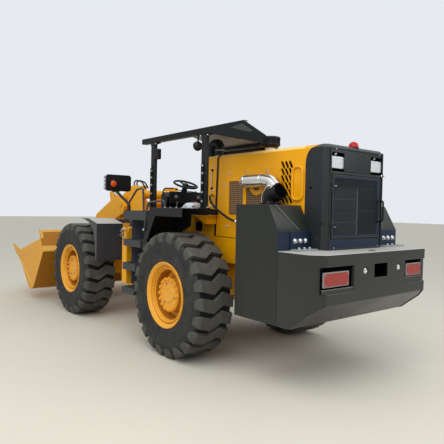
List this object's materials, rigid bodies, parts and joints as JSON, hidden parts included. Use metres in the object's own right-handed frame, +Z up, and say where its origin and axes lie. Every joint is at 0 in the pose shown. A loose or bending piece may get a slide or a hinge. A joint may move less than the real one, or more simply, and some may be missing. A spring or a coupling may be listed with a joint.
{
  "type": "articulated wheel loader",
  "caption": "Low-built articulated wheel loader with open driving canopy, rear bonnet and counterweight, lift arms with a cross-linked bucket, and working steering, wheels and grille door.",
  "frame": {"origin": "on the ground under the middle of the whole length, on the centre plane", "axes": "+X towards the bucket, +Y to the driver's left, +Z up"},
  "size_m": [6.956, 2.4, 2.4499],
  "materials": {
    "yellow_paint": "gloss powder coat",
    "rim_paint": "satin paint",
    "dark_paint": "satin paint",
    "black_plastic": "moulded",
    "cast_iron": "as cast",
    "steel": "bare",
    "chrome": "hard chrome",
    "seat_cover": "seat under a film sheet",
    "hose_rubber": "moulded rubber",
    "lamp_glass": "clear",
    "beacon_red": "clear moulded",
    "tyre": "moulded rubber"
  },
  "bodies": {
    "chassis": {"rear_frame": "yellow_paint", "rear_axle": "yellow_paint", "engine_block": "cast_iron", "gearbox": "cast_iron", "rear_shafts": "steel", "counterweight": "dark_paint", "wing_boxes": "dark_paint", "wing_brackets": "dark_paint", "hood": "yellow_paint", "hood_mesh": "steel", "hood_hose": "hose_rubber", "radiator": "cast_iron", "rear_cowl": "dark_paint", "work_lamps": "lamp_glass", "beacon": "beacon_red", "precleaner": "black_plastic", "exhaust": "steel", "lower_body": "yellow_paint", "floor": "dark_paint", "side_steps": "dark_paint", "side_tanks": "yellow_paint", "rear_fenders": "dark_paint", "seat": "seat_cover", "dash": "dark_paint", "steering_wheel": "black_plastic", "canopy_roof": "dark_paint", "canopy_posts": "dark_paint", "handrails": "dark_paint", "lamp_units": "black_plastic"},
    "door": {"grille_door": "dark_paint"},
    "front": {"front_frame": "yellow_paint", "front_axle": "yellow_paint", "front_shaft": "steel", "mudguards": "dark_paint"},
    "boom": {"boom": "yellow_paint"},
    "crank": {"bell_crank": "yellow_paint"},
    "link": {"tilt_link": "yellow_paint"},
    "bucket": {"bucket": "yellow_paint"},
    "tilt_barrel": {"tilt_barrel": "yellow_paint"},
    "tilt_rod": {"tilt_rod": "chrome"},
    "lift_barrel_left": {"lift_barrel_left": "yellow_paint"},
    "lift_rod_left": {"lift_rod_left": "chrome"},
    "steer_barrel_left": {"steer_barrel_left": "yellow_paint"},
    "steer_rod_left": {"steer_rod_left": "chrome"},
    "wheel_rear_left": {"tyre_rear_left": "tyre", "rim_rear_left": "rim_paint"},
    "wheel_front_left": {"tyre_front_left": "tyre", "rim_front_left": "rim_paint"},
    "lift_barrel_right": {"lift_barrel_right": "yellow_paint"},
    "lift_rod_right": {"lift_rod_right": "chrome"},
    "steer_barrel_right": {"steer_barrel_right": "yellow_paint"},
    "steer_rod_right": {"steer_rod_right": "chrome"},
    "wheel_rear_right": {"tyre_rear_right": "tyre", "rim_rear_right": "rim_paint"},
    "wheel_front_right": {"tyre_front_right": "tyre", "rim_front_right": "rim_paint"}
  },
  "joints": [
    {"name": "grille_door", "type": "hinge", "parent": "chassis", "child": "door", "pos_m": [-3.212, 0.388, 1.632], "axis": [0, 0, -1], "range_deg": [0, 100]},
    {"name": "steering", "type": "hinge", "parent": "chassis", "child": "front", "pos_m": [-0.292, 0, 0.84], "axis": [0, 0, 1], "range_deg": [-35, 35]},
    {"name": "wheel_rear_left", "type": "hinge", "parent": "chassis", "child": "wheel_rear_left", "pos_m": [-1.592, 0.8775, 0.665], "axis": [0, 1, 0], "continuous": true},
    {"name": "wheel_rear_right", "type": "hinge", "parent": "chassis", "child": "wheel_rear_right", "pos_m": [-1.592, -0.8775, 0.665], "axis": [0, 1, 0], "continuous": true},
    {"name": "wheel_front_left", "type": "hinge", "parent": "front", "child": "wheel_front_left", "pos_m": [1.008, 0.8775, 0.665], "axis": [0, 1, 0], "continuous": true},
    {"name": "wheel_front_right", "type": "hinge", "parent": "front", "child": "wheel_front_right", "pos_m": [1.008, -0.8775, 0.665], "axis": [0, 1, 0], "continuous": true},
    {"name": "boom_lift", "type": "hinge", "parent": "front", "child": "boom", "pos_m": [0.738, 0, 1.64], "axis": [0, -1, 0], "range_deg": [-4, 68]},
    {"name": "bucket_tilt", "type": "hinge", "parent": "boom", "child": "bucket", "pos_m": [2.058, 0, 0.358], "axis": [0, -1, 0], "range_deg": [-140, 0]},
    {"name": "crank_turn", "type": "hinge", "parent": "boom", "child": "crank", "pos_m": [1.608, 0, 1.38], "axis": [0, -1, 0], "range_deg": [-0.5, 44.93]},
    {"name": "link_turn", "type": "hinge", "parent": "crank", "child": "link", "pos_m": [1.383, 0, 0.783], "axis": [0, -1, 0], "range_deg": [-59.42, 0.5]},
    {"name": "lift_barrel_left", "type": "hinge", "parent": "front", "child": "lift_barrel_left", "pos_m": [0.508, 0.478, 0.9], "axis": [0, -1, 0], "range_deg": [-2.25, 30.25]},
    {"name": "lift_rod_left", "type": "slide", "parent": "lift_barrel_left", "child": "lift_rod_left", "axis": [0.8989, 0, 0.4382], "range_m": [-0.03342, 0.52016]},
    {"name": "lift_barrel_right", "type": "hinge", "parent": "front", "child": "lift_barrel_right", "pos_m": [0.508, -0.478, 0.9], "axis": [0, -1, 0], "range_deg": [-2.25, 30.25]},
    {"name": "lift_rod_right", "type": "slide", "parent": "lift_barrel_right", "child": "lift_rod_right", "axis": [0.8989, 0, 0.4382], "range_m": [-0.03342, 0.52016]},
    {"name": "tilt_barrel", "type": "hinge", "parent": "front", "child": "tilt_barrel", "pos_m": [0.738, 0, 1.64], "axis": [0, -1, 0], "range_deg": [-4.5, 68.5]},
    {"name": "tilt_rod", "type": "slide", "parent": "tilt_barrel", "child": "tilt_rod", "axis": [0.9886, 0, 0.1506], "range_m": [-0.33926, 0.003]},
    {"name": "steer_barrel_left", "type": "hinge", "parent": "chassis", "child": "steer_barrel_left", "pos_m": [-1.052, 0.262, 0.72], "axis": [0, 0, 1], "range_deg": [-0.87, 0.87]},
    {"name": "steer_rod_left", "type": "slide", "parent": "steer_barrel_left", "child": "steer_rod_left", "axis": [0.9995, 0.0302, 0], "range_m": [-0.16706, 0.16706]},
    {"name": "steer_barrel_right", "type": "hinge", "parent": "chassis", "child": "steer_barrel_right", "pos_m": [-1.052, -0.262, 0.72], "axis": [0, 0, 1], "range_deg": [-0.87, 0.87]},
    {"name": "steer_rod_right", "type": "slide", "parent": "steer_barrel_right", "child": "steer_rod_right", "axis": [0.9995, -0.0302, 0], "range_m": [-0.16706, 0.16706]}
  ],
  "couplings": [
    {"joint": "crank_turn", "follows": "bucket_tilt", "ratio": -0.31736},
    {"joint": "link_turn", "follows": "bucket_tilt", "ratio": 0.42089},
    {"joint": "lift_barrel_left", "follows": "boom_lift", "ratio": 0.43754},
    {"joint": "lift_rod_left", "follows": "boom_lift", "m_per_rad": 0.43575},
    {"joint": "lift_barrel_right", "follows": "boom_lift", "ratio": 0.43754},
    {"joint": "lift_rod_right", "follows": "boom_lift", "m_per_rad": 0.43575},
    {"joint": "tilt_barrel", "follows": "boom_lift", "ratio": 1},
    {"joint": "tilt_rod", "follows": "bucket_tilt", "m_per_rad": 0.13762},
    {"joint": "steer_barrel_left", "follows": "steering", "ratio": 0.01069},
    {"joint": "steer_rod_left", "follows": "steering", "m_per_rad": -0.26857},
    {"joint": "steer_barrel_right", "follows": "steering", "ratio": 0.01069},
    {"joint": "steer_rod_right", "follows": "steering", "m_per_rad": 0.26857}
  ]
}
